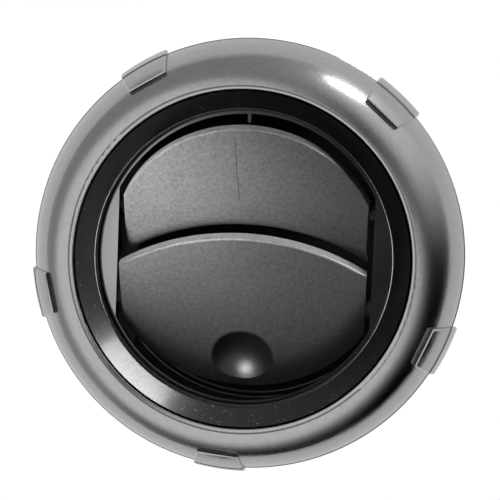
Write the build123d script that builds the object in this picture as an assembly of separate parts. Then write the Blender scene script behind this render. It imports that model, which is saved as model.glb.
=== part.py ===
from build123d import *
import math
import os

# Round dashboard air vent. Millimetres. The axis is Y, the front faces -Y, +Z is up, y = 0 is the panel's face.

# Radii from the rim inwards: each follows the rim through the ring, barrel, rotor and mouth.
rim_radius = 48.0
flange_inset = 3.4
flange_radius = rim_radius - flange_inset
flange_width = 3.2
barrel_radius = flange_radius - flange_width
barrel_wall = 2.2
barrel_bore = barrel_radius - barrel_wall
rotor_gap = 0.4
rotor_radius = barrel_bore - rotor_gap
rotor_wall = 1.6
rotor_bore = rotor_radius - rotor_wall
lip_inset = 5.15
lip_radius = rotor_bore - lip_inset
mouth_inset = 0.75
mouth_radius = lip_radius - mouth_inset
cheek_inset = 3.4
cheek_inner_x = mouth_radius - cheek_inset
cheek_wall = 2.0
cheek_outer_x = cheek_inner_x + cheek_wall
flap_side_gap = 1.15
flap_half_width = cheek_inner_x - flap_side_gap

# Bezel ring: a domed shell with a bead at its rim and five lug pads.
rim_land = 2.4
bead_height = 1.5
bead_step = 0.2
dome_mid_inset = 4.6
dome_mid_radius = rim_radius - dome_mid_inset
dome_mid_y = -9.8
crown_inset = 10.7
crown_radius = rim_radius - crown_inset
crown_y = -15.35
bezel_wall = 1.8
seam_inset = 11.9
seam_radius = rim_radius - seam_inset
seam_edge_y = -14.5
seam_turn_out = 0.3
seam_turn_back = 0.25
lug_count = 5
lug_phase = 48.8
lug_raise = 0.9
lug_root_inset = 8.0
lug_root_radius = rim_radius - lug_root_inset
lug_inner_inset = 4.8
lug_inner_radius = rim_radius - lug_inner_inset
lug_rim_half_angle = 7.5
lug_inner_half_angle = 6.0
lug_chamfer = 0.45
lug_slot_inset = 0.7
lug_slot_radius = rim_radius - lug_slot_inset
lug_slot_width = 0.5
lug_slot_floor_y = -3.2
catch_width = 8.0
catch_thickness = 1.1
catch_reach = 0.8

# Housing: funnel collar, barrel, flange, snap tongues and duct spigot in one moulding.
seam_gap = 0.3
funnel_front_y = -14.8
funnel_step_y = -13.5
lip_y = -10.5
lip_nose = 0.5
lip_back_y = -8.6
lip_land = 1.5
shoulder_step = 0.9
funnel_back_radius = seam_radius + shoulder_step
funnel_back_y = -11.6
shoulder_radius = seam_radius + shoulder_step
shoulder_y = -13.2
barrel_front_y = -9.0
barrel_end_y = 24.0
spigot_wall = 1.2
spigot_end_y = 39.0
flange_thickness = 2.0
gasket_thickness = 1.6
gasket_inner_gap = 0.4
gasket_width = 1.6
tongue_count = 4
tongue_width = 9.0
tongue_front_y = 2.4
tongue_root_y = 13.0
tongue_slot = 1.0
barb_reach = 1.5
barb_length = 5.0

# Rotor: a drum with a front plate and two flat cheeks that carry the flaps.
rotor_front_y = -8.0
rotor_plate = 1.6
rotor_rear_y = 17.0
stop_width = 0.7
stop_drop = 1.9
stop_length = 3.0

# Retaining ring and the felt ring that gives the rotor its drag.
drag_gap = 0.1
drag_thickness = 1.1
drag_width = 3.4
retainer_thickness = 2.4
retainer_land = 2.6
retainer_inner = rotor_bore - retainer_land
retainer_gap = 0.1
tab_count = 4
tab_width = 8.0
tab_reach = 1.7
window_gap = 0.2

# Foam ring on the step between the barrel and the duct spigot.
seal_seat_step = 0.4
seal_length = 3.5
seal_thickness = 2.4

# Flaps: two half-moon plates that turn together about horizontal pins.
flap_thickness = 2.4
flap_edge_round = 0.5
plate_front = 4.65
pivot_y = -3.4
pivot_share = 0.335
pivot_z = mouth_radius * pivot_share
closed_tilt = 7.5
rest_tilt = 24.7
open_tilt = 76.7
upper_arc_inset = 1.7
upper_arc_radius = mouth_radius - upper_arc_inset
upper_edge_rise = 0.43
upper_arc_rise = mouth_radius + upper_edge_rise - pivot_z
lower_arc_inset = 0.5
lower_arc_radius = mouth_radius - lower_arc_inset
lower_edge_inset = 0.94
lower_arc_drop = mouth_radius - lower_edge_inset - pivot_z
split_arch_radius = 49.2
split_rise = 8.52
lower_split_rise = pivot_z + split_rise
split_overlap = 0.5
upper_roll = 3.0
lower_roll = 7.0
roll_depth = 1.7
roll_margin = 1.0
dimple_radius = 6.75
dimple_depth = 3.0
dimple_edge = 8.73
dimple_drop = lower_arc_drop - dimple_edge
dimple_wall = 1.5
boss_radius = 2.5
boss_length = 6.0
rib_width = 1.6
rib_depth = 1.8

# Cranks, link, pivot pins and bushes.
plug_radius = 1.5
plug_length = 4.6
plug_flat = 1.1
socket_gap = 0.05
shaft_radius = 1.9
shaft_gap = 0.07
shaft_shoulder = 0.3
crank_gap = 0.5
crank_thickness = 1.5
crank_hub_radius = 2.6
crank_end_radius = 2.1
crank_length = 4.5
crank_pin_radius = 1.2
crank_head_radius = 1.6
crank_head_thickness = 0.4
link_gap = 0.3
link_thickness = 1.0
link_eye_radius = 2.1
link_pin_gap = 0.08
link_open_gap = 0.15
head_gap = 0.15
bush_wall = 0.6
bush_flange_radius = 2.9
bush_flange = 0.5
bush_press_gap = 0.02
pin_head_radius = 2.6
pin_head_thickness = 1.0
pin_head_gap = 0.3

spigot_radius = barrel_bore + spigot_wall
seal_seat_radius = barrel_radius - seal_seat_step
flange_back_y = -gasket_thickness
retainer_front_y = rotor_rear_y + drag_gap + drag_thickness
crank_angle = -(closed_tilt + open_tilt) / 2


def at_y(y):
    """Front-view plane at depth y: sketch x is +X, sketch y is +Z, and its normal faces the front."""
    return Plane.XZ.offset(-y)


def slab(sketch, front, back):
    """Front-view sketch made solid from y = front to y = back."""
    return extrude(at_y(back) * sketch, back - front)


def ring(outer, inner, front, back):
    """Plain ring about the vent's axis."""
    return slab(Circle(outer) - Circle(inner), front, back)


def turned(points):
    """Solid of revolution from a closed outline of (radius, y) points."""
    return revolve(make_face(Polyline(*points, close=True)), Axis.Y)


def about_axis(shape, angle):
    """Shape turned about the vent's axis, counter-clockwise in the front view."""
    return shape.rotate(Axis.Y, -angle)


def x_rod(radius, start, end):
    """Round rod along X between two x values."""
    return extrude(Plane.YZ.offset(start) * Circle(radius), end - start)


def x_plate(sketch, start, end):
    """Side-view sketch (Y across, Z up) made solid between two x values."""
    return extrude(Plane.YZ.offset(start) * sketch, end - start)


def circle_through(a, b, c):
    """Centre and radius of the circle through three (radius, y) points."""
    d = 2 * (a[0] * (b[1] - c[1]) + b[0] * (c[1] - a[1]) + c[0] * (a[1] - b[1]))
    sa = a[0] ** 2 + a[1] ** 2
    sb = b[0] ** 2 + b[1] ** 2
    sc = c[0] ** 2 + c[1] ** 2
    x = (sa * (b[1] - c[1]) + sb * (c[1] - a[1]) + sc * (a[1] - b[1])) / d
    y = (sa * (c[0] - b[0]) + sb * (a[0] - c[0]) + sc * (b[0] - a[0])) / d
    return x, y, math.hypot(a[0] - x, a[1] - y)


def make_bezel():
    """Domed shell, open at the back, with lug pads outside and catches inside."""
    foot = (rim_radius - bead_step, -bead_height)
    mid = (dome_mid_radius, dome_mid_y)
    crown = (crown_radius, crown_y)
    cx, cy, dome_radius = circle_through(foot, mid, crown)
    inside = dome_radius - bezel_wall
    low = (cx + math.sqrt(inside ** 2 - (foot[1] - cy) ** 2), foot[1])
    high = (seam_radius, cy - math.sqrt(inside ** 2 - (seam_radius - cx) ** 2))
    middle = (math.atan2(low[1] - cy, low[0] - cx) + math.atan2(high[1] - cy, high[0] - cx)) / 2
    between = (cx + inside * math.cos(middle), cy + inside * math.sin(middle))
    seam = (seam_radius, seam_edge_y)
    turn_r = seam_radius + (crown_radius - seam_radius) * seam_turn_out
    edge = (turn_r, crown_y + (seam_edge_y - crown_y) * seam_turn_back)
    outline = [
        Line((rim_radius, 0), (rim_radius, bead_step - bead_height)),
        Line((rim_radius, bead_step - bead_height), foot),
        ThreePointArc(foot, mid, crown),
        ThreePointArc(crown, edge, seam),
        Line(seam, high),
        ThreePointArc(high, between, low),
        Line(low, (rim_radius - rim_land, 0)),
        Line((rim_radius - rim_land, 0), (rim_radius, 0)),
    ]
    shell = revolve(make_face(outline), Axis.Y)
    hollow = revolve(make_face([
        Line((0, 0), (0, high[1])),
        Line((0, high[1]), high),
        ThreePointArc(high, between, low),
        Line(low, (rim_radius - rim_land, 0)),
        Line((rim_radius - rim_land, 0), (0, 0)),
    ]), Axis.Y)

    raised = dome_radius + lug_raise
    raised_low = (cx + math.sqrt(raised ** 2 - cy ** 2), 0)
    raised_high = (lug_root_radius, cy - math.sqrt(raised ** 2 - (lug_root_radius - cx) ** 2))
    middle = (math.atan2(-cy, raised_low[0] - cx) + math.atan2(raised_high[1] - cy, lug_root_radius - cx)) / 2
    raised_mid = (cx + raised * math.cos(middle), cy + raised * math.sin(middle))
    envelope = revolve(make_face([
        ThreePointArc(raised_low, raised_mid, raised_high),
        Line(raised_high, (lug_root_radius, 0)),
        Line((lug_root_radius, 0), raised_low),
    ]), Axis.Y)
    outer_half = raised_low[0] * math.sin(math.radians(lug_rim_half_angle))
    inner_half = lug_inner_radius * math.sin(math.radians(lug_inner_half_angle))
    pad_face = make_face(Polyline(
        (lug_inner_radius, -inner_half),
        (raised_low[0] + lug_raise, -outer_half),
        (raised_low[0] + lug_raise, outer_half),
        (lug_inner_radius, inner_half),
        close=True,
    ))
    pad = slab(pad_face, 2 * dome_mid_y, 0) & envelope
    top_edges = pad.faces().filter_by(GeomType.PLANE, reverse=True)[0].edges()
    pad = chamfer([e for e in top_edges if e.center().Y < -bead_height / 2], lug_chamfer)
    slot = ring(lug_slot_radius + lug_slot_width, lug_slot_radius, 2 * dome_mid_y, lug_slot_floor_y)
    pad = pad - slot - hollow

    catch_centre = (flange_radius - catch_reach + rim_radius - rim_land) / 2 + bezel_wall / 2
    catch_span = rim_radius - rim_land - flange_radius + catch_reach + bezel_wall
    catch_bar = slab(
        Pos(catch_centre, 0) * Rectangle(catch_span, catch_width),
        flange_back_y + head_gap,
        flange_back_y + head_gap + catch_thickness,
    )
    catch_bar = catch_bar & ring(rim_radius - bead_step - bezel_wall / 4, flange_radius - catch_reach, dome_mid_y, 0)
    body = shell
    for i in range(lug_count):
        angle = lug_phase + i * 360 / lug_count
        body = body + about_axis(pad, angle) + about_axis(catch_bar, angle)
    return body


def make_housing():
    """Funnel, barrel and spigot turned as one section, then flange, tongues and windows."""
    funnel_radius = seam_radius - seam_gap
    section = turned([
        (lip_radius, lip_y),
        (funnel_radius, funnel_front_y),
        (funnel_radius, funnel_step_y),
        (shoulder_radius, shoulder_y),
        (barrel_radius, barrel_front_y),
        (barrel_radius, barrel_end_y),
        (seal_seat_radius, barrel_end_y),
        (seal_seat_radius, barrel_end_y + seal_length),
        (spigot_radius, barrel_end_y + seal_length),
        (spigot_radius, spigot_end_y),
        (barrel_bore, spigot_end_y),
        (barrel_bore, barrel_front_y),
        (funnel_back_radius, funnel_back_y),
        (lip_radius + lip_land, lip_back_y),
        (lip_radius, lip_back_y),
    ])
    nose = [e for e in section.edges().filter_by(GeomType.CIRCLE) if abs(e.radius - lip_radius) < lip_nose]
    body = fillet(nose, lip_nose)
    body = body + ring(flange_radius, barrel_radius - barrel_wall / 2, flange_back_y - flange_thickness, flange_back_y)

    side_x = tongue_width / 2 + tongue_slot / 2
    cut_length = tongue_root_y - tongue_front_y
    wall_depth = 2 * barrel_wall
    cut = Rectangle(tongue_slot, cut_length)
    mid_y = (tongue_front_y + tongue_root_y) / 2
    window_y = retainer_front_y + retainer_thickness / 2
    top = Plane.XY.offset(barrel_bore - barrel_wall / 2)
    slots = extrude(top * Pos(side_x, mid_y) * cut, wall_depth) + extrude(top * Pos(-side_x, mid_y) * cut, wall_depth)
    slots = slots + extrude(
        top * Pos(0, tongue_front_y + tongue_slot / 2) * Rectangle(2 * side_x + tongue_slot, tongue_slot), wall_depth
    )
    barb_front = tongue_front_y + tongue_slot
    barb_base = barrel_radius - barrel_wall / 2
    barb = x_plate(
        make_face(Polyline(
            (barb_front, barb_base),
            (barb_front, barrel_radius + barb_reach),
            (barb_front + barb_length, barrel_radius - barb_reach / 2),
            (barb_front + barb_length, barb_base),
            close=True,
        )),
        -tongue_width / 2,
        tongue_width / 2,
    )
    for i in range(tongue_count):
        angle = (i + 0.5) * 360 / tongue_count
        body = body - about_axis(slots, angle) + about_axis(barb, angle)
    window = extrude(
        top * Pos(0, window_y) * Rectangle(tab_width + 2 * window_gap, retainer_thickness + 2 * window_gap), wall_depth
    )
    for i in range(tab_count):
        body = body - about_axis(window, i * 360 / tab_count)
    return body


def make_rotor():
    """Drum, front plate with its mouth, cheeks with pivot holes, and the rib that stops the upper flap."""
    mouth = Circle(mouth_radius) & Rectangle(2 * cheek_inner_x, 4 * mouth_radius)
    drum = ring(rotor_radius, rotor_bore, rotor_front_y, rotor_rear_y)
    plate = slab(Circle(rotor_radius - rotor_wall / 2) - mouth, rotor_front_y, rotor_front_y + rotor_plate)
    cheek_face = Pos(cheek_inner_x + cheek_wall / 2, 0) * Rectangle(cheek_wall, 4 * rotor_radius)
    cheek_face = cheek_face & Circle(rotor_radius - rotor_wall / 2)
    cheeks = slab(cheek_face + mirror(cheek_face, Plane.YZ), rotor_front_y, rotor_rear_y)
    stop = slab(
        Pos(0, mouth_radius - stop_drop / 2 + rotor_wall / 2) * Rectangle(stop_width, stop_drop + rotor_wall),
        rotor_front_y,
        rotor_front_y + stop_length,
    )
    stop = stop - ring(rotor_radius, mouth_radius + rotor_wall, rotor_front_y, rotor_rear_y)
    body = drum + plate + cheeks + stop
    bush_hole = shaft_radius + shaft_gap + bush_wall + bush_press_gap
    for side in (1, -1):
        centre = Pos(0, pivot_y, side * pivot_z)
        body = body - centre * x_rod(shaft_radius + shaft_gap, -cheek_outer_x - crank_gap / 2, 0)
        body = body - centre * x_rod(bush_hole, 0, cheek_outer_x + bush_flange)
    return body


def make_retainer():
    """Flat ring with tabs that snap in the barrel's windows."""
    back = retainer_front_y + retainer_thickness
    body = ring(barrel_bore - retainer_gap, retainer_inner, retainer_front_y, back)
    inset = (barrel_bore - retainer_inner) / 2
    length = tab_reach + inset
    tab = slab(Pos(0, barrel_bore + tab_reach - length / 2) * Rectangle(tab_width, length), retainer_front_y, back)
    for i in range(tab_count):
        body = body + about_axis(tab, i * 360 / tab_count)
    return body


def arch(half, apex, radius):
    """Height of a shallow arch's end, below an apex, at a half width."""
    return apex - radius + math.sqrt(radius ** 2 - half ** 2)


def flap_plate(top, top_radius, bottom, bottom_radius, bottom_arched):
    """Plate with a domed top edge and a bottom edge that is either arched or round."""
    w = flap_half_width
    top_end = arch(w, top, top_radius)
    if bottom_arched:
        bottom_end = arch(w, bottom, bottom_radius)
    else:
        bottom_end = -arch(w, -bottom, bottom_radius)
    outline = [
        ThreePointArc((-w, top_end), (0, top), (w, top_end)),
        Line((w, top_end), (w, bottom_end)),
        ThreePointArc((w, bottom_end), (0, bottom), (-w, bottom_end)),
        Line((-w, bottom_end), (-w, top_end)),
    ]
    plate = slab(make_face(outline), -plate_front, flap_thickness - plate_front)
    return fillet(plate.faces().sort_by(Axis.Y)[0].edges(), flap_edge_round)


def edge_roll(radius, centre_z, length, side):
    """Cutter that rolls a flap's front back towards its bottom edge, over a length.

    The edge has this radius about centre_z; side is 1 where the plate lies inside it and -1 where outside.
    """
    bend = (length ** 2 + roll_depth ** 2) / (2 * roll_depth)
    half = math.asin(length / bend) / 2
    start = (radius - side * length, -plate_front)
    mid = (start[0] + side * bend * math.sin(half), bend * (1 - math.cos(half)) - plate_front)
    end = (radius, roll_depth - plate_front)
    beyond = radius + side * roll_margin
    front = -plate_front - roll_margin
    section = make_face([
        ThreePointArc(start, mid, end),
        Line(end, (beyond, end[1])),
        Line((beyond, end[1]), (beyond, front)),
        Line((beyond, front), (start[0], front)),
        Line((start[0], front), start),
    ])
    return Pos(0, 0, centre_z) * revolve(section, Axis.Y)


def flap_mounts():
    """Bosses, their webs and a stiffening rib behind a flap's plate, on its pivot line."""
    inner = flap_half_width - boss_length
    plate_back = flap_thickness - plate_front
    bosses = x_rod(boss_radius, inner, flap_half_width) + x_rod(boss_radius, -flap_half_width, -inner)
    web = Pos(flap_half_width - boss_length / 2, 0) * Rectangle(boss_length, 2 * boss_radius)
    webs = slab(web + mirror(web, Plane.YZ), plate_back - flap_thickness / 2, 0)
    rib = slab(Rectangle(2 * inner, rib_width), plate_back - flap_thickness / 2, plate_back + rib_depth)
    return bosses + webs + rib


def plug_profile(radius):
    """D-shaped side view of the crank's plug or its socket."""
    offset = plug_flat + radius - plug_radius
    return Circle(radius) & Pos(0, offset - 2 * radius) * Rectangle(4 * radius, 4 * radius)


def flap_sockets():
    """D socket for the crank at -X and round socket for the pivot pin at +X."""
    depth = flap_half_width - boss_length + (boss_length - plug_length) / 2
    crank_side = x_plate(plug_profile(plug_radius + socket_gap), -cheek_inner_x, -depth)
    return crank_side + x_rod(plug_radius + socket_gap, depth, cheek_inner_x)


def placed(shape, side):
    """Piece built about its pivot with the flap upright, put at its pivot at the rest tilt."""
    return Pos(0, pivot_y, side * pivot_z) * shape.rotate(Axis.X, rest_tilt)


def make_upper_flap():
    """Upper flap: round top edge, bottom edge arched like the lower flap's top edge and rolled back."""
    bottom = lower_split_rise - 2 * pivot_z * math.cos(math.radians(closed_tilt)) - split_overlap
    body = flap_plate(upper_arc_rise, upper_arc_radius, bottom, split_arch_radius, True)
    roll = edge_roll(split_arch_radius, bottom - split_arch_radius, upper_roll, -1)
    return body + flap_mounts() - roll - flap_sockets()


def make_lower_flap():
    """Lower flap: arched top edge, round bottom edge that rolls back, and a round finger dimple."""
    body = flap_plate(lower_split_rise, split_arch_radius, -lower_arc_drop, lower_arc_radius, False)
    dish = (dimple_radius ** 2 + dimple_depth ** 2) / (2 * dimple_depth)
    centre = Pos(0, -plate_front - dish + dimple_depth, -dimple_drop)
    bulge = centre * Sphere(dish + dimple_wall)
    bulge = bulge & slab(
        Pos(0, -dimple_drop) * Circle(dimple_radius + dimple_wall),
        flap_thickness / 2 - plate_front,
        dish,
    )
    roll = edge_roll(lower_arc_radius, lower_arc_radius - lower_arc_drop, lower_roll, 1)
    return body + bulge + flap_mounts() - roll - centre * Sphere(dish) - flap_sockets()


def crank_pin_offset():
    """Crank pin from its pivot, in the side view, with the flap upright."""
    angle = math.radians(crank_angle)
    return crank_length * math.cos(angle), crank_length * math.sin(angle)


crank_in_x = -cheek_outer_x - crank_gap
crank_out_x = crank_in_x - crank_thickness
link_in_x = crank_out_x - link_gap
link_out_x = link_in_x - link_thickness
crank_head_x = link_out_x - head_gap


def make_crank():
    """Lever with a D plug and shaft through the cheek, and a headed pin for the link."""
    y, z = crank_pin_offset()
    lever = make_hull((Circle(crank_hub_radius) + Pos(y, z) * Circle(crank_end_radius)).edges())
    body = x_plate(lever, crank_out_x, crank_in_x)
    body = body + x_rod(shaft_radius, crank_in_x, -flap_half_width - shaft_shoulder)
    body = body + x_plate(plug_profile(plug_radius), -flap_half_width - shaft_shoulder, plug_length - flap_half_width)
    pin = x_rod(crank_pin_radius, crank_head_x, crank_out_x)
    head = x_rod(crank_head_radius, crank_head_x - crank_head_thickness, crank_head_x)
    return body + Pos(0, y, z) * (pin + head)


def make_pivot_pin():
    """Headed pin at the +X cheek: round plug in the flap, shaft in the bush."""
    shoulder = flap_half_width + shaft_shoulder
    head = cheek_outer_x + bush_flange + pin_head_gap
    body = x_rod(plug_radius, flap_half_width - plug_length, shoulder)
    body = body + x_rod(shaft_radius, shoulder, head)
    return body + x_rod(pin_head_radius, head, head + pin_head_thickness)


def make_bush():
    """Flanged soft bush in the +X cheek, about its pivot."""
    bore = shaft_radius + shaft_gap
    body = x_rod(bore + bush_wall, cheek_inner_x, cheek_outer_x + bush_flange)
    body = body + x_rod(bush_flange_radius, cheek_outer_x, cheek_outer_x + bush_flange)
    return body - x_rod(bore, 0, 2 * cheek_outer_x)


def make_link():
    """Bar that joins the two crank pins, upright at every flap angle."""
    y, z = crank_pin_offset()
    tilt = math.radians(rest_tilt)
    pin_y = pivot_y + y * math.cos(tilt) - z * math.sin(tilt)
    pin_z = y * math.sin(tilt) + z * math.cos(tilt)
    eyes = Pos(0, pivot_z) * Circle(link_eye_radius) + Pos(0, -pivot_z) * Circle(link_eye_radius)
    bar = x_plate(make_hull(eyes.edges()), link_out_x, link_in_x)
    bar = bar - Pos(0, 0, -pivot_z) * x_rod(crank_pin_radius + link_pin_gap, crank_head_x, crank_out_x)
    bar = bar - Pos(0, 0, pivot_z) * x_rod(crank_pin_radius + link_open_gap, crank_head_x, crank_out_x)
    return Pos(0, pin_y, pin_z) * bar


gasket_inner = barrel_radius + gasket_inner_gap
drag_front_y = rotor_rear_y + drag_gap
crank = make_crank()
pivot_pin = make_pivot_pin()
bush = make_bush()

nodes = {
    "bezel_ring": make_bezel(),
    "housing": make_housing(),
    "rotor": make_rotor(),
    "retaining_ring": make_retainer(),
    "drag_ring": ring(rotor_radius, rotor_radius - drag_width, drag_front_y, retainer_front_y),
    "panel_gasket": ring(gasket_inner + gasket_width, gasket_inner, flange_back_y, 0),
    "duct_seal": ring(seal_seat_radius + seal_thickness, seal_seat_radius, barrel_end_y, barrel_end_y + seal_length),
    "upper_flap": placed(make_upper_flap(), 1),
    "lower_flap": placed(make_lower_flap(), -1),
    "upper_crank": placed(crank, 1),
    "lower_crank": placed(crank, -1),
    "upper_pivot_pin": placed(pivot_pin, 1),
    "lower_pivot_pin": placed(pivot_pin, -1),
    "upper_bush": Pos(0, pivot_y, pivot_z) * bush,
    "lower_bush": Pos(0, pivot_y, -pivot_z) * bush,
    "flap_link": make_link(),
}

os.makedirs("parts", exist_ok=True)
for name, shape in nodes.items():
    export_step(shape, f"parts/{name}.step")
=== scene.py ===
"""Looks for the round dashboard air vent.

Finishes for the CAD nodes, a bead on the funnel's lip, a white sheet behind the vent, lights and
the photo's camera.
"""

import logging
import math
from dataclasses import dataclass, field
from enum import Enum
from typing import Union

import bpy
from mathutils import Matrix, Vector


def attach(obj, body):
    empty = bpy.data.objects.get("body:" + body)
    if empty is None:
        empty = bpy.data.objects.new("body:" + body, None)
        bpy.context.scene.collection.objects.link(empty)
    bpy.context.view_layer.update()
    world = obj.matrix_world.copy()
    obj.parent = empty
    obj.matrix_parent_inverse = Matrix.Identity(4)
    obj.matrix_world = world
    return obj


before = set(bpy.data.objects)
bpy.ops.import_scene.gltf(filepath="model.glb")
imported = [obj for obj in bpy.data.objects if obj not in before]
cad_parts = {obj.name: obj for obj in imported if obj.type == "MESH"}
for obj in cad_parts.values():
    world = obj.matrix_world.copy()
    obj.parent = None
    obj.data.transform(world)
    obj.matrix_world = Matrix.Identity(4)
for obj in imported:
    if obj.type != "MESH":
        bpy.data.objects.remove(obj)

LOG = logging.getLogger("air_vent")
FRONT = Vector((0.0, -1.0, 0.0))

Feed = Union[bpy.types.NodeSocket, float, tuple[float, ...], Vector]
Stops = tuple[tuple[float, float], ...]


class Slot(Enum):
    """Material slots of the record."""

    CHROME = "satin_chrome"
    GLOSS = "gloss_black"
    ROTOR = "rotor_black"
    FLAP = "flap_grey"
    LINK = "link_plastic"
    FELT = "felt"
    FOAM = "foam"
    RUBBER = "bush_rubber"


class Effect(Enum):
    """Shared shader node groups."""

    GRAIN = "fine_grain"
    DUST = "dust_specks"
    SCRATCH = "hairline_scratch"
    CLOUD = "soft_clouding"
    # mask for the dish's painted shade and its smoother finish
    DISH = "finger_dish"


class MixKind(Enum):
    """Kinds of Mix node: its data type, the indices of its two inputs and of its output."""

    VALUE = ("FLOAT", 2, 3, 0)
    COLOUR = ("RGBA", 6, 7, 2)


def grey(value: float) -> tuple[float, float, float, float]:
    """Neutral colour.

    Args:
        value: linear brightness.

    Returns:
        The colour with full alpha.
    """
    return (value, value, value, 1.0)


def direction(angle: float, off_axis: float) -> Vector:
    """Direction away from the vent.

    Args:
        angle: direction in the front view, degrees from +X towards +Z.
        off_axis: angle from the front, degrees.

    Returns:
        The unit vector.
    """
    turn, off = math.radians(angle), math.radians(off_axis)
    return Vector((math.cos(turn) * math.sin(off), -math.cos(off), math.sin(turn) * math.sin(off)))


def add_node(
    tree: bpy.types.NodeTree, kind: str, inputs: dict[Union[str, int], Feed], **settings: object
) -> bpy.types.Node:
    """Shader node with its settings made and its inputs linked or set.

    Args:
        tree: the tree that gets the node.
        kind: the node's type without its common prefix.
        inputs: a socket to link or a constant to set, for each input by name or index.
        settings: the node's own options.

    Returns:
        The node.
    """
    node = tree.nodes.new("ShaderNode" + kind)
    for option, value in settings.items():
        setattr(node, option, value)
    for key, value in inputs.items():
        if isinstance(value, bpy.types.NodeSocket):
            tree.links.new(value, node.inputs[key])
        else:
            node.inputs[key].default_value = value
    return node


def calc(tree: bpy.types.NodeTree, operation: str, *values: Feed) -> bpy.types.NodeSocket:
    """Result of a Math node.

    Args:
        tree: the tree that gets the node.
        operation: the node's operation.
        values: a socket or a constant for each input.

    Returns:
        The node's output.
    """
    return add_node(tree, "Math", dict(enumerate(values)), operation=operation).outputs[0]


def blend(
    tree: bpy.types.NodeTree, kind: MixKind, factor: bpy.types.NodeSocket, first: Feed, second: Feed
) -> bpy.types.NodeSocket:
    """Result of a Mix node.

    Args:
        tree: the tree that gets the node.
        kind: values or colours.
        factor: share of the second.
        first: what factor 0 gives.
        second: what factor 1 gives.

    Returns:
        The node's output.
    """
    data_type, first_input, second_input, output = kind.value
    inputs = {0: factor, first_input: first, second_input: second}
    return add_node(tree, "Mix", inputs, data_type=data_type).outputs[output]


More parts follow.
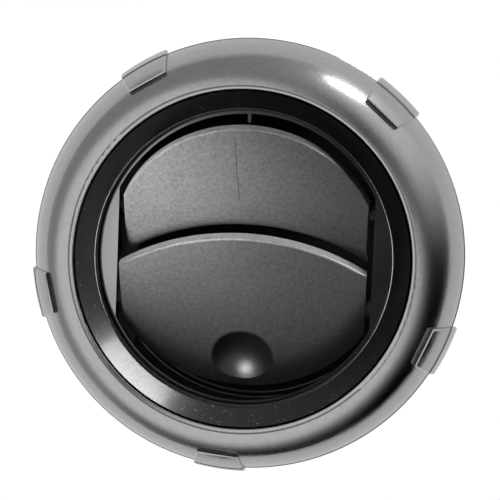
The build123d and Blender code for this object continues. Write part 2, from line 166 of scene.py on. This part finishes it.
class NodeBook:
    """Builds each shared shader node group once and hands it out.

    Attributes:
        GRAIN_SMOOTH: how far the grain's cells run into each other.
        GRAIN_DETAIL: detail of the grain's noise.
        GRAIN_ROUGH: roughness of that noise.
        GRAIN_SLOWER: scale of that noise against the cells.
        SPECK_SIZE: largest speck against its dust cell.
        WAVER_SCALE: bends per metre of the scratch.
        WAVER: full sway of the scratch, metres.
        CLOUD_DETAIL: detail of the clouding's noise.
        CLOUD_LOW: noise value that gives the clouding's low end.
        CLOUD_HIGH: noise value that gives its high end.
    """

    GRAIN_SMOOTH: float = 0.6
    GRAIN_DETAIL: float = 4.0
    GRAIN_ROUGH: float = 0.65
    GRAIN_SLOWER: float = 0.35
    SPECK_SIZE: float = 0.34
    WAVER_SCALE: float = 180.0
    WAVER: float = 0.0006
    CLOUD_DETAIL: float = 3.0
    CLOUD_LOW: float = 0.3
    CLOUD_HIGH: float = 0.7

    def __init__(self) -> None:
        """Starts with no groups built."""
        self._groups: dict[Effect, bpy.types.ShaderNodeTree] = {}

    def get(self, effect: Effect) -> bpy.types.ShaderNodeTree:
        """Group for an effect, built on first use.

        Args:
            effect: which group.

        Returns:
            The node group.
        """
        if effect not in self._groups:
            makers = {
                Effect.GRAIN: self._grain,
                Effect.DUST: self._dust,
                Effect.SCRATCH: self._scratch,
                Effect.CLOUD: self._cloud,
                Effect.DISH: self._dish,
            }
            self._groups[effect] = makers[effect]()
            LOG.info("built node group %s", effect.value)
        return self._groups[effect]

    @staticmethod
    def _start(
        effect: Effect,
        values: dict[str, float],
        outputs: tuple[str, ...],
        points: tuple[str, ...] = ("Vector",),
    ) -> tuple[bpy.types.ShaderNodeTree, bpy.types.NodeOutputs, bpy.types.NodeInputs]:
        """Empty group with its sockets.

        Args:
            effect: the group's name.
            values: name and default of each value input.
            outputs: name of each value output.
            points: name of each vector input.

        Returns:
            The tree, the sockets that bring the inputs and the sockets that take the outputs.
        """
        tree = bpy.data.node_groups.new(effect.value, "ShaderNodeTree")
        for name in points:
            tree.interface.new_socket(name, in_out="INPUT", socket_type="NodeSocketVector")
        for name, default in values.items():
            socket = tree.interface.new_socket(name, in_out="INPUT", socket_type="NodeSocketFloat")
            socket.default_value = default
        for name in outputs:
            tree.interface.new_socket(name, in_out="OUTPUT", socket_type="NodeSocketFloat")
        return tree, tree.nodes.new("NodeGroupInput").outputs, tree.nodes.new("NodeGroupOutput").inputs

    def _grain(self) -> bpy.types.ShaderNodeTree:
        """Moulded grain: a height for bump and a faint mottle value.

        Returns:
            The node group.
        """
        tree, source, sink = self._start(Effect.GRAIN, {"Scale": 2600.0}, ("Height", "Mottle"))
        cells = {"Vector": source["Vector"], "Scale": source["Scale"], "Smoothness": self.GRAIN_SMOOTH}
        fine = add_node(tree, "TexVoronoi", cells, feature="SMOOTH_F1").outputs["Distance"]
        noise = {
            "Vector": source["Vector"],
            "Scale": calc(tree, "MULTIPLY", source["Scale"], self.GRAIN_SLOWER),
            "Detail": self.GRAIN_DETAIL,
            "Roughness": self.GRAIN_ROUGH,
        }
        coarse = add_node(tree, "TexNoise", noise).outputs["Fac"]
        tree.links.new(calc(tree, "ADD", fine, coarse), sink["Height"])
        tree.links.new(coarse, sink["Mottle"])
        return tree

    def _dust(self) -> bpy.types.ShaderNodeTree:
        """Sparse specks where a weight is high.

        Returns:
            The node group.
        """
        tree, source, sink = self._start(Effect.DUST, {"Scale": 900.0, "Weight": 0.5}, ("Mask",))
        grid = {"Vector": source["Vector"], "Scale": source["Scale"]}
        cells = add_node(tree, "TexVoronoi", grid, feature="F1").outputs
        chance = add_node(tree, "SeparateColor", {"Color": cells["Color"]}).outputs
        chosen = calc(tree, "LESS_THAN", chance["Red"], source["Weight"])
        size = calc(tree, "MULTIPLY", chance["Green"], self.SPECK_SIZE)
        near = calc(tree, "LESS_THAN", cells["Distance"], size)
        tree.links.new(calc(tree, "MULTIPLY", chosen, near), sink["Mask"])
        return tree

    def _scratch(self) -> bpy.types.ShaderNodeTree:
        """One thin wavering line along Z near a given X, between two heights.

        Returns:
            The node group.
        """
        values = {"X": 0.0, "Lean": 0.0, "Low": 0.0, "High": 1.0, "Width": 0.0001}
        tree, source, sink = self._start(Effect.SCRATCH, values, ("Mask",))
        parts = add_node(tree, "SeparateXYZ", {0: source["Vector"]}).outputs
        bends = {"W": parts["Z"], "Scale": self.WAVER_SCALE}
        waver = add_node(tree, "TexNoise", bends, noise_dimensions="1D").outputs["Fac"]
        sway = calc(tree, "MULTIPLY_ADD", waver, self.WAVER, -self.WAVER / 2)
        lean = calc(tree, "MULTIPLY_ADD", parts["Z"], source["Lean"], source["X"])
        off = calc(tree, "SUBTRACT", parts["X"], calc(tree, "ADD", lean, sway))
        near = calc(tree, "LESS_THAN", calc(tree, "ABSOLUTE", off), source["Width"])
        above = calc(tree, "GREATER_THAN", parts["Z"], source["Low"])
        below = calc(tree, "LESS_THAN", parts["Z"], source["High"])
        span = calc(tree, "MULTIPLY", above, below)
        tree.links.new(calc(tree, "MULTIPLY", near, span), sink["Mask"])
        return tree

    def _dish(self) -> bpy.types.ShaderNodeTree:
        """Mask of a hollow: 1 near the hollow's centre, fading to 0 between two distances from it.

        Returns:
            The node group.
        """
        values = {"Inside": 0.0, "Outside": 1.0}
        tree, source, sink = self._start(Effect.DISH, values, ("Mask",), ("Vector", "Centre"))
        ends = {0: source["Vector"], 1: source["Centre"]}
        fade = {
            "Value": add_node(tree, "VectorMath", ends, operation="DISTANCE").outputs["Value"],
            "From Min": source["Inside"],
            "From Max": source["Outside"],
            "To Min": 1.0,
            "To Max": 0.0,
        }
        tree.links.new(add_node(tree, "MapRange", fade).outputs["Result"], sink["Mask"])
        return tree

    def _cloud(self) -> bpy.types.ShaderNodeTree:
        """Slow clouding between two values, for roughness.

        Returns:
            The node group.
        """
        values = {"Scale": 60.0, "Low": 0.2, "High": 0.4}
        tree, source, sink = self._start(Effect.CLOUD, values, ("Value",))
        noise = {"Vector": source["Vector"], "Scale": source["Scale"], "Detail": self.CLOUD_DETAIL}
        spread = {
            "Value": add_node(tree, "TexNoise", noise).outputs["Fac"],
            "From Min": self.CLOUD_LOW,
            "From Max": self.CLOUD_HIGH,
            "To Min": source["Low"],
            "To Max": source["High"],
        }
        tree.links.new(add_node(tree, "MapRange", spread).outputs["Result"], sink["Value"])
        return tree


BOOK = NodeBook()


@dataclass(frozen=True)
class Finish:
    """A surface finish on one material slot.

    Attributes:
        slot: the record's material slot.
        colour: linear grey of the base.
        rough_low: lowest roughness of the clouding.
        rough_high: highest roughness of the clouding.
        metal: metallic value.
        grain_scale: cells per metre of the grain, 0 for none.
        grain_depth: bump distance of the grain in metres.
        mottle: how much the grain changes the base colour.
    """

    slot: Slot
    colour: float
    rough_low: float
    rough_high: float
    metal: float = 0.0
    grain_scale: float = 0.0
    grain_depth: float = 0.0
    mottle: float = 0.0

    def material(self) -> bpy.types.Material:
        """Material of this finish.

        Returns:
            The material, with its shader built.
        """
        made = bpy.data.materials.new("finish_" + self.slot.value)
        made.use_nodes = True
        tree = made.node_tree
        shader = tree.nodes["Principled BSDF"]
        shader.inputs["Metallic"].default_value = self.metal
        shader.inputs["Base Color"].default_value = grey(self.colour)
        place = add_node(tree, "TexCoord", {}).outputs["Object"]
        cloud = self._use(tree, Effect.CLOUD, place, {"Low": self.rough_low, "High": self.rough_high})
        tree.links.new(cloud["Value"], shader.inputs["Roughness"])
        if self.grain_scale:
            self._add_grain(tree, shader, place)
        self.dress(tree, shader, place)
        return made

    @staticmethod
    def _use(
        tree: bpy.types.NodeTree, effect: Effect, place: bpy.types.NodeSocket, inputs: dict[str, Feed]
    ) -> bpy.types.NodeOutputs:
        """Uses a shared group at the object's coordinates.

        Args:
            tree: the material's node tree.
            effect: which group.
            place: the object coordinates.
            inputs: a socket or a constant for each other input.

        Returns:
            The group's outputs.
        """
        return add_node(tree, "Group", {"Vector": place, **inputs}, node_tree=BOOK.get(effect)).outputs

    def _add_grain(self, tree: bpy.types.NodeTree, shader: bpy.types.Node, place: bpy.types.NodeSocket) -> None:
        """Adds the grain's bump and mottle.

        Args:
            tree: the material's node tree.
            shader: the Principled BSDF node.
            place: the object coordinates.
        """
        grain = self._use(tree, Effect.GRAIN, place, {"Scale": self.grain_scale})
        relief = {"Strength": 1.0, "Distance": self.grain_depth, "Height": grain["Height"]}
        tree.links.new(add_node(tree, "Bump", relief).outputs["Normal"], shader.inputs["Normal"])
        darkest = grey(self.colour * (1.0 - self.mottle))
        lightest = grey(self.colour * (1.0 + self.mottle))
        mottled = blend(tree, MixKind.COLOUR, grain["Mottle"], darkest, lightest)
        tree.links.new(mottled, shader.inputs["Base Color"])

    def dress(self, tree: bpy.types.NodeTree, shader: bpy.types.Node, place: bpy.types.NodeSocket) -> None:
        """Adds what only some finishes have; plain finishes add nothing.

        Args:
            tree: the material's node tree.
            shader: the Principled BSDF node.
            place: the object coordinates.
        """

    @staticmethod
    def lay_over(
        tree: bpy.types.NodeTree,
        kind: MixKind,
        target: bpy.types.NodeSocket,
        mask: bpy.types.NodeSocket,
        over: Feed,
    ) -> None:
        """Lays another value or colour over a shader's input where a mask is 1.

        Args:
            tree: the material's node tree.
            kind: value or colour.
            target: the shader's input.
            mask: the factor.
            over: what is laid over.
        """
        under = target.links[0].from_socket if target.is_linked else target.default_value
        tree.links.new(blend(tree, kind, mask, under, over), target)


@dataclass(frozen=True)
class DustyGloss(Finish):
    """Polished black plastic with specks of dust, more of them low on the funnel.

    Attributes:
        dust: share of dusty cells low on the vent.
        dust_least: share of that high on the vent.
        dust_top: height above which the dust is least, in metres.
        dust_bottom: height below which it is most, in metres.
        dust_scale: dust cells per metre.
        dust_grey: linear grey of the dust.
        gloss: specular level.
        coat: weight of the polished skin.
        coat_rough: roughness of the polished skin.
    """

    dust: float = 0.5
    dust_least: float = 0.15
    dust_top: float = 0.015
    dust_bottom: float = -0.034
    dust_scale: float = 1700.0
    dust_grey: float = 0.05
    gloss: float = 0.5
    coat: float = 0.0
    coat_rough: float = 0.15

    def dress(self, tree: bpy.types.NodeTree, shader: bpy.types.Node, place: bpy.types.NodeSocket) -> None:
        """Adds the polish and the dust.

        Args:
            tree: the material's node tree.
            shader: the Principled BSDF node.
            place: the object coordinates.
        """
        shader.inputs["Specular IOR Level"].default_value = self.gloss
        shader.inputs["Coat Weight"].default_value = self.coat
        shader.inputs["Coat Roughness"].default_value = self.coat_rough
        fall = {
            "Value": add_node(tree, "SeparateXYZ", {0: place}).outputs["Z"],
            "From Min": self.dust_top,
            "From Max": self.dust_bottom,
            "To Min": self.dust * self.dust_least,
            "To Max": self.dust,
        }
        weight = add_node(tree, "MapRange", fall).outputs["Result"]
        specks = self._use(tree, Effect.DUST, place, {"Scale": self.dust_scale, "Weight": weight})
        self.lay_over(tree, MixKind.COLOUR, shader.inputs["Base Color"], specks["Mask"], grey(self.dust_grey))


@dataclass(frozen=True)
class FlapPlastic(Finish):
    """Fine grained dark plastic with a hairline scratch on one flap and, on the other, a dish with painted
    shade and a smoother finish.

    Attributes:
        scratch_x: where the scratch crosses z = 0, in metres.
        scratch_lean: its slope, X per Z.
        scratch_low: lower end in Z, in metres.
        scratch_high: upper end in Z, in metres.
        scratch_width: half its width, in metres.
        scratch_grey: linear grey of the scratch.
        dish_centre: centre of the dish's sphere, in metres.
        dish_inside: distance from it up to which the dish's look is full, in metres.
        dish_outside: distance from which the dish's look is gone, in metres.
        painted_dish_shade_grey: linear grey of the dish, painted shade in the hollow.
        dish_rough: roughness of the dish.
    """

    scratch_x: float = -0.0006
    scratch_lean: float = -0.06
    scratch_low: float = 0.0125
    scratch_high: float = 0.0262
    scratch_width: float = 0.00011
    scratch_grey: float = 0.06
    dish_centre: tuple[float, float, float] = (0.0, -0.0085, -0.0251)
    dish_inside: float = 0.009165
    dish_outside: float = 0.00939
    # painted shade in the dish's hollow
    painted_dish_shade_grey: float = 0.04
    dish_rough: float = 0.33

    def dress(self, tree: bpy.types.NodeTree, shader: bpy.types.Node, place: bpy.types.NodeSocket) -> None:
        """Adds the scratch, and the dish's painted shade and smoother finish.

        Args:
            tree: the material's node tree.
            shader: the Principled BSDF node.
            place: the object coordinates.
        """
        course = {
            "X": self.scratch_x,
            "Lean": self.scratch_lean,
            "Low": self.scratch_low,
            "High": self.scratch_high,
            "Width": self.scratch_width,
        }
        scratch = self._use(tree, Effect.SCRATCH, place, course)["Mask"]
        hollow = {"Centre": self.dish_centre, "Inside": self.dish_inside, "Outside": self.dish_outside}
        dish = self._use(tree, Effect.DISH, place, hollow)["Mask"]
        base = shader.inputs["Base Color"]
        self.lay_over(tree, MixKind.COLOUR, base, scratch, grey(self.scratch_grey))
        # painted shade: the dish is darkened where shade falls in the hollow; the roughness below is its
        # smoother finish
        self.lay_over(tree, MixKind.COLOUR, base, dish, grey(self.painted_dish_shade_grey))
        self.lay_over(tree, MixKind.VALUE, shader.inputs["Roughness"], dish, self.dish_rough)


class SubAssembly:
    """A group of CAD nodes with the slot of each."""

    nodes: dict[str, Slot] = {}

    def dress(self, finishes: dict[Slot, bpy.types.Material]) -> None:
        """Gives each node its finish.

        Args:
            finishes: material of each slot.
        """
        for name, slot in self.nodes.items():
            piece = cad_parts[name]
            material = finishes[slot]
            piece.data.materials.clear()
            piece.data.materials.append(material)
            LOG.info("%s: %s, %d faces", name, material.name, len(piece.data.polygons))


@dataclass
class Surround(SubAssembly):
    """Fixed pieces: bezel, housing, rings and seals, and the bead on the funnel's lip.

    Attributes:
        bead_radius: radius of the bead's middle line.
        bead_depth: its place in Y, on the funnel's slope.
        bead_thick: radius of its round section.
        bead_steps: facets around the axis and around the section.
        nodes: slot of each node.
    """

    bead_radius: float = 0.03228
    bead_depth: float = -0.01072
    bead_thick: float = 0.00028
    bead_steps: tuple[int, int] = (192, 12)
    nodes: dict[str, Slot] = field(
        default_factory=lambda: {
            "bezel_ring": Slot.CHROME,
            "housing": Slot.GLOSS,
            "retaining_ring": Slot.ROTOR,
            "drag_ring": Slot.FELT,
            "panel_gasket": Slot.FOAM,
            "duct_seal": Slot.FOAM,
        }
    )

    def build(self, finishes: dict[Slot, bpy.types.Material]) -> bpy.types.Object:
        """Adds the bead.

        Args:
            finishes: material of each slot.

        Returns:
            The bead, which rides on the housing.
        """
        bpy.ops.mesh.primitive_torus_add(
            major_radius=self.bead_radius,
            minor_radius=self.bead_thick,
            major_segments=self.bead_steps[0],
            minor_segments=self.bead_steps[1],
        )
        bead = bpy.context.object
        bead.name = "lip_bead"
        bead.data.transform(Matrix.Rotation(math.pi / 2, 4, "X"))
        bead.data.transform(Matrix.Translation((0.0, self.bead_depth, 0.0)))
        bead.data.shade_smooth()
        bead.data.materials.append(finishes[Slot.ROTOR])
        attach(bead, "housing_body")
        LOG.info("%s: %d faces", bead.name, len(bead.data.polygons))
        return bead


@dataclass
class Turret(SubAssembly):
    """The turning rotor with its soft bushes.

    Attributes:
        nodes: slot of each node.
    """

    nodes: dict[str, Slot] = field(
        default_factory=lambda: {"rotor": Slot.ROTOR, "upper_bush": Slot.RUBBER, "lower_bush": Slot.RUBBER}
    )


@dataclass
class FlapPair(SubAssembly):
    """Both flaps with their pins, cranks and link.

    Attributes:
        nodes: slot of each node.
    """

    nodes: dict[str, Slot] = field(
        default_factory=lambda: {
            "upper_flap": Slot.FLAP,
            "lower_flap": Slot.FLAP,
            "upper_crank": Slot.LINK,
            "lower_crank": Slot.LINK,
            "flap_link": Slot.LINK,
            "upper_pivot_pin": Slot.LINK,
            "lower_pivot_pin": Slot.LINK,
        }
    )


@dataclass(frozen=True)
class PhotoCamera:
    """Camera placed as the photo's.

    Attributes:
        azimuth: degrees to the right of the vent's axis.
        elevation: degrees above it.
        roll: degrees the picture is turned clockwise against the vent.
        distance: metres from the origin.
        scale: picture widths per metre at the origin.
        right: metres the aim lies right of the origin.
        up: metres the aim lies above the origin.
        sensor: the sensor's width, millimetres.
        clip: nearest and farthest distance seen, metres.
    """

    azimuth: float = 5.54
    elevation: float = 4.99
    roll: float = 2.36
    distance: float = 0.3
    scale: float = 8.954
    right: float = 0.000536
    up: float = 0.001117
    sensor: float = 36.0
    clip: tuple[float, float] = (0.01, 20.0)

    def build(self) -> bpy.types.Object:
        """Adds the camera and makes it the scene's.

        Returns:
            The camera object.
        """
        az = math.radians(self.azimuth)
        el = math.radians(self.elevation)
        back = Vector((math.sin(az) * math.cos(el), -math.cos(az) * math.cos(el), math.sin(el)))
        right = Vector((math.cos(az), math.sin(az), 0.0))
        up = back.cross(right)
        turn = Matrix.Rotation(math.radians(self.roll), 4, back)
        data = bpy.data.cameras.new("photo_camera")
        data.sensor_width = self.sensor
        data.lens = self.sensor * self.scale * self.distance
        data.clip_start, data.clip_end = self.clip
        camera = bpy.data.objects.new("photo_camera", data)
        bpy.context.scene.collection.objects.link(camera)
        aim = turn @ (right * self.right + up * self.up)
        basis = turn @ Matrix((right, up, back)).transposed().to_4x4()
        camera.matrix_world = Matrix.Translation(back * self.distance + aim) @ basis
        bpy.context.scene.camera = camera
        return camera


@dataclass(frozen=True)
class Lamp:
    """Rectangular lamp that faces a point of the vent.

    Attributes:
        name: the lamp's name.
        angle: direction in the front view, degrees from +X towards +Z.
        off_axis: angle from the front, degrees.
        distance: metres from the origin.
        radiance: brightness of its face.
        across: side along the circle around the axis, metres.
        along: other side, metres.
        mirrored: whether glossy surfaces show it.
        lighting: whether it lights dull surfaces.
        aim: the point's X and Z, metres.
        spread: angle of its beam, degrees.
        only: pieces that it reaches, empty for all.
    """

    name: str
    angle: float
    off_axis: float
    distance: float
    radiance: float
    across: float
    along: float
    mirrored: bool = True
    lighting: bool = True
    aim: tuple[float, float] = (0.0, 0.0)
    spread: float = 180.0
    only: tuple[str, ...] = ()

    def build(self) -> bpy.types.Object:
        """Adds the lamp.

        Returns:
            The lamp object.
        """
        stand = direction(self.angle, self.off_axis) * self.distance
        toward = (stand - Vector((self.aim[0], 0.0, self.aim[1]))).normalized()
        around = FRONT.cross(toward).normalized()
        data = bpy.data.lights.new(self.name, "AREA")
        data.shape = "RECTANGLE"
        data.size = self.across
        data.size_y = self.along
        data.energy = self.radiance * math.pi * self.across * self.along
        data.spread = math.radians(self.spread)
        lamp = bpy.data.objects.new(self.name, data)
        bpy.context.scene.collection.objects.link(lamp)
        basis = Matrix((around, toward.cross(around), toward)).transposed().to_4x4()
        lamp.matrix_world = Matrix.Translation(stand) @ basis
        lamp.visible_camera = False
        lamp.visible_glossy = self.mirrored
        lamp.visible_diffuse = self.lighting
        if self.only:
            reached = bpy.data.collections.new(self.name + "_reach")
            for piece in self.only:
                reached.objects.link(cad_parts.get(piece) or bpy.data.objects[piece])
            lamp.light_linking.receiver_collection = reached
        LOG.info("lamp %s: %.2f W", self.name, data.energy)
        return lamp


@dataclass(frozen=True)
class Sheet:
    """White sheet that the vent lies on with its back.

    Attributes:
        depth: its place in Y, just behind the spigot's end.
        radius: its radius.
        sides: corners of its outline.
        centre: its middle in X and Z.
        covered: radius inside which the sheet has painted shade and no emission.
        colour: linear grey.
        painted_barrel_shade: linear grey inside the barrel, painted shade there.
        rough: roughness.
        mirrored: brightness added for mirror rays.
    """

    depth: float = 0.0393
    radius: float = 0.16
    sides: int = 96
    centre: tuple[float, float] = (0.005, 0.015)
    covered: float = 0.0395
    colour: float = 0.2
    painted_barrel_shade: float = 0.01
    rough: float = 0.9
    mirrored: float = 0.74

    def build(self) -> bpy.types.Object:
        """Adds the sheet.

        Returns:
            The sheet object.
        """
        bpy.ops.mesh.primitive_circle_add(
            vertices=self.sides, radius=self.radius, fill_type="NGON", rotation=(math.pi / 2, 0, 0)
        )
        sheet = bpy.context.object
        sheet.name = "white_sheet"
        sheet.location = (self.centre[0], self.depth, self.centre[1])
        sheet.data.materials.append(self._material())
        sheet.visible_shadow = False
        return sheet

    def _material(self) -> bpy.types.Material:
        """White for camera, mirror and glass rays outside the barrel, painted shade inside it, clear from
        behind.

        Returns:
            The material.
        """
        made = bpy.data.materials.new("white_sheet")
        made.use_nodes = True
        tree = made.node_tree
        link = tree.links.new
        shader = tree.nodes["Principled BSDF"]
        shader.inputs["Roughness"].default_value = self.rough
        shader.inputs["Emission Color"].default_value = grey(1.0)
        paths = add_node(tree, "LightPath", {}).outputs
        glossy = calc(tree, "MULTIPLY", paths["Is Glossy Ray"], self.mirrored)
        mirror = calc(tree, "MAXIMUM", paths["Is Camera Ray"], glossy)
        glass = calc(tree, "MAXIMUM", mirror, paths["Is Transmission Ray"])
        place = add_node(tree, "TexCoord", {}).outputs["Object"]
        axis = (-self.centre[0], -self.centre[1], 0.0)
        reach = add_node(tree, "VectorMath", {0: place, 1: axis}, operation="DISTANCE").outputs["Value"]
        outside = calc(tree, "GREATER_THAN", reach, self.covered)
        # painted shade: near black inside the barrel's radius, where the sheet lies in the vent's shade
        paper_and_painted_shade = blend(tree, MixKind.COLOUR, outside, grey(self.painted_barrel_shade), grey(self.colour))
        link(paper_and_painted_shade, shader.inputs["Base Color"])
        link(calc(tree, "MULTIPLY", glass, outside), shader.inputs["Emission Strength"])
        sides = {
            0: add_node(tree, "NewGeometry", {}).outputs["Backfacing"],
            1: shader.outputs[0],
            2: add_node(tree, "BsdfTransparent", {}).outputs[0],
        }
        link(add_node(tree, "MixShader", sides).outputs[0], tree.nodes["Material Output"].inputs["Surface"])
        return made


@dataclass(frozen=True)
class Room:
    """World light: soft from the front, with a band at the sides that is dark at the lower right.

    Attributes:
        front: stops of depth share and brightness, seen anywhere but towards the key.
        keyward: the same towards the key.
        lean: how far the room's axis leans from the front, degrees.
        lean_angle: the way it leans in the front view, degrees.
        key_angle: the key's direction in the front view, degrees.
        key_focus: how narrowly the key's side is limited.
        dark_angle: direction in the front view where the band is darkest, degrees.
        dark_ends: cosines from that direction where the band is darkest and lightest.
        band: brightness of the band on the other side.
        ambient: even brightness that lights the vent.
    """

    front: Stops = (
        (0.0, 0.24), (0.025, 0.28), (0.045, 0.9), (0.06, 1.0), (0.4, 1.0), (0.44, 0.75), (0.47, 0.35),
        (0.515, 0.1), (0.55, 0.02), (0.58, 0.0), (0.9, 0.0),
    )
    keyward: Stops = ((0.0, 0.12), (0.12, 0.15), (0.2, 0.17), (0.5, 0.15), (0.57, 0.7), (0.64, 0.95))
    lean: float = 17.0
    lean_angle: float = 222.0
    key_angle: float = 45.0
    key_focus: float = 8.0
    dark_angle: float = 310.0
    dark_ends: tuple[float, float] = (0.65, 0.1)
    band: float = 0.36
    ambient: float = 0.02

    def build(self) -> bpy.types.World:
        """Makes the world and gives it to the scene.

        Returns:
            The world.
        """
        world = bpy.data.worlds.new("room")
        bpy.context.scene.world = world
        world.use_nodes = True
        tree = world.node_tree
        ray = add_node(tree, "TexCoord", {}).outputs["Generated"]
        along = self._cosine(tree, ray, direction(self.lean_angle, self.lean))
        share = {"Value": along, "From Min": 1.0, "From Max": -1.0}
        depth = add_node(tree, "MapRange", share).outputs["Result"]
        flat = add_node(tree, "VectorMath", {0: ray, 1: (1.0, 0.0, 1.0)}, operation="MULTIPLY")
        unit = add_node(tree, "VectorMath", {0: flat.outputs["Vector"]}, operation="NORMALIZE")
        around = unit.outputs["Vector"]
        fall = {
            "Value": self._cosine(tree, around, direction(self.dark_angle, 90.0)),
            "From Min": self.dark_ends[0],
            "From Max": self.dark_ends[1],
            "To Max": self.band,
        }
        band = add_node(tree, "MapRange", fall).outputs["Result"]
        plain = calc(tree, "MAXIMUM", self._ramp(tree, depth, self.front), band)
        ahead = calc(tree, "MAXIMUM", self._cosine(tree, around, direction(self.key_angle, 90.0)), 0.0)
        focus = calc(tree, "POWER", ahead, self.key_focus)
        mirrored = blend(tree, MixKind.VALUE, focus, plain, self._ramp(tree, depth, self.keyward))
        paths = add_node(tree, "LightPath", {}).outputs
        clear = calc(tree, "MAXIMUM", paths["Is Camera Ray"], paths["Is Transmission Ray"])
        even = calc(tree, "MAXIMUM", clear, self.ambient)
        seen = blend(tree, MixKind.VALUE, paths["Is Glossy Ray"], even, mirrored)
        background = tree.nodes["Background"]
        background.inputs["Strength"].default_value = 1.0
        tree.links.new(seen, background.inputs["Color"])
        return world

    @staticmethod
    def _cosine(tree: bpy.types.NodeTree, ray: bpy.types.NodeSocket, way: Vector) -> bpy.types.NodeSocket:
        """Cosine between a ray and a given direction.

        Args:
            tree: the world's node tree.
            ray: the ray's unit vector.
            way: the given unit vector.

        Returns:
            The socket with the cosine.
        """
        return add_node(tree, "VectorMath", {0: ray, 1: way}, operation="DOT_PRODUCT").outputs["Value"]

    @staticmethod
    def _ramp(tree: bpy.types.NodeTree, depth: bpy.types.NodeSocket, stops: Stops) -> bpy.types.NodeSocket:
        """Brightness along the depth share.

        Args:
            tree: the world's node tree.
            depth: the depth share, 0 in front and 1 behind.
            stops: share and brightness of each stop.

        Returns:
            The socket with the brightness.
        """
        node = add_node(tree, "ValToRGB", {"Fac": depth})
        elements = node.color_ramp.elements
        for element, (share, value) in zip(elements, (stops[0], stops[-1])):
            element.position, element.color = share, grey(value)
        for share, value in stops[1:-1]:
            elements.new(share).color = grey(value)
        return node.outputs["Color"]


FLAPS: tuple[str, ...] = ("upper_flap", "lower_flap")
BACK: tuple[str, ...] = tuple(
    name for group in (Surround(), Turret(), FlapPair()) for name in group.nodes if name != "bezel_ring"
)


@dataclass(frozen=True)
class Stage:
    """Sheet, lamps and room.

    Attributes:
        sheet: the white sheet.
        room: the world light.
        lamps: all lamps.
    """

    sheet: Sheet = Sheet()
    room: Room = Room()
    lamps: tuple[Lamp, ...] = (
        Lamp("key", 63.0, 97.0, 0.5, 24.0, 0.1, 0.045),
        Lamp("funnel_glint", 50.0, 77.0, 0.5, 175.0, 0.3, 0.06, only=("housing",)),
        Lamp(
            "near_fill", 166.0, 46.0, 0.12, 3.8, 0.04, 0.04, mirrored=False, aim=(-0.018, 0.019), spread=32.0
        ),
        Lamp("top_light", 44.0, 73.0, 0.3, 100.0, 0.06, 0.06, only=("lower_flap",)),
        Lamp("edge_light", 46.0, 75.0, 0.3, 60.0, 0.06, 0.06, only=FLAPS),
        Lamp("dimple_glint", 208.0, 14.0, 0.42, 36.0, 0.16, 0.16, lighting=False, only=("lower_flap",)),
        Lamp("front_window", 198.0, 15.5, 0.42, 9.0, 0.11, 0.11, lighting=False, only=("rotor",)),
        Lamp("lip_window", 192.0, 24.0, 0.42, 60.0, 0.1, 0.1, lighting=False, only=("lip_bead",)),
        Lamp("rear_left", 155.0, 130.0, 0.5, 10.0, 0.5, 0.4, only=BACK),
        Lamp("rear_right", 35.0, 125.0, 0.5, 6.0, 0.5, 0.4, only=BACK),
    )

    def build(self) -> None:
        """Adds the stage and sets the plain view transform."""
        self.sheet.build()
        self.room.build()
        for lamp in self.lamps:
            lamp.build()
        bpy.context.scene.view_settings.view_transform = "Standard"


FINISHES: tuple[Finish, ...] = (
    Finish(Slot.CHROME, 0.42, 0.15, 0.2, metal=1.0, grain_scale=2600.0, grain_depth=0.000006, mottle=0.14),
    DustyGloss(Slot.GLOSS, 0.009, 0.29, 0.34, dust=0.5, gloss=0.1, coat=0.12),
    DustyGloss(Slot.ROTOR, 0.014, 0.14, 0.2, dust=0.4, gloss=0.5),
    FlapPlastic(Slot.FLAP, 0.15, 0.36, 0.42, grain_scale=4200.0, grain_depth=0.00003, mottle=0.8),
    Finish(Slot.LINK, 0.05, 0.35, 0.45),
    Finish(Slot.FELT, 0.08, 0.9, 1.0, grain_scale=1500.0, grain_depth=0.0002, mottle=0.3),
    Finish(Slot.FOAM, 0.035, 0.85, 1.0, grain_scale=1200.0, grain_depth=0.0003, mottle=0.3),
    Finish(Slot.RUBBER, 0.025, 0.6, 0.7),
)


def main() -> None:
    """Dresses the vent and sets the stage."""
    logging.basicConfig(level=logging.INFO, format="%(name)s: %(message)s")
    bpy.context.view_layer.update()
    finishes = {finish.slot: finish.material() for finish in FINISHES}
    surround = Surround()
    for group in (surround, Turret(), FlapPair()):
        group.dress(finishes)
    surround.build(finishes)
    PhotoCamera().build()
    Stage().build()


if __name__ == "__main__":
    main()
